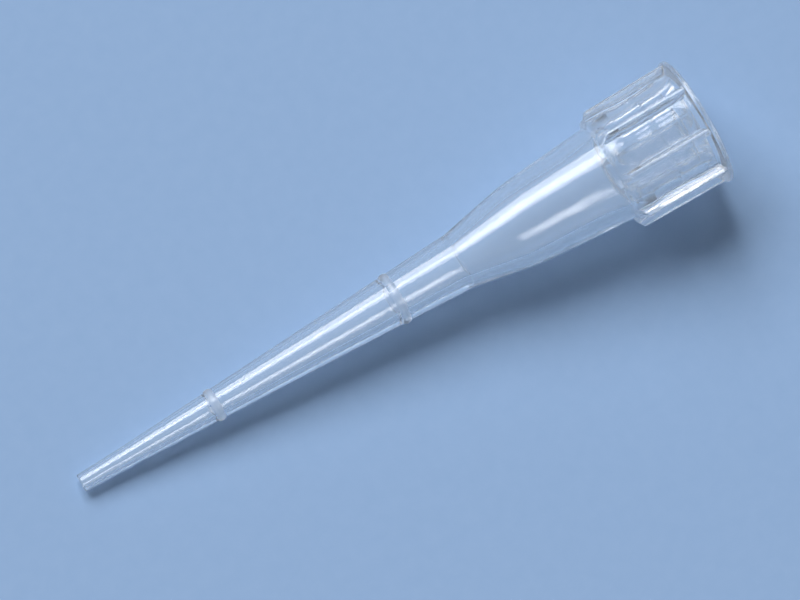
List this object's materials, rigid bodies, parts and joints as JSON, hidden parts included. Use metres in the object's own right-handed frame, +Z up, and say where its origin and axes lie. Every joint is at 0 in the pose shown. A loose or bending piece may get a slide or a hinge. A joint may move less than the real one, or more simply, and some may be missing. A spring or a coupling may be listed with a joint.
{
  "type": "pipette tip",
  "caption": "Slender tapering pipette tip moulded in one clear piece, with a ribbed collar, a press-on socket and graduation rings, lying on its side.",
  "frame": {"origin": "on the floor under the middle of the part as it lies, in line with its axis", "axes": "+X along the floor from the narrow outlet to the mouth, +Z up; the tip's own axis lies in the XZ plane and rises 4.87 degrees towards +X"},
  "size_m": [0.0316, 0.006, 0.0061],
  "materials": {
    "polypropylene": "clear to faintly milky, smooth and glossy"
  },
  "bodies": {
    "root": {"pipette_tip": "polypropylene"}
  },
  "joints": []
}
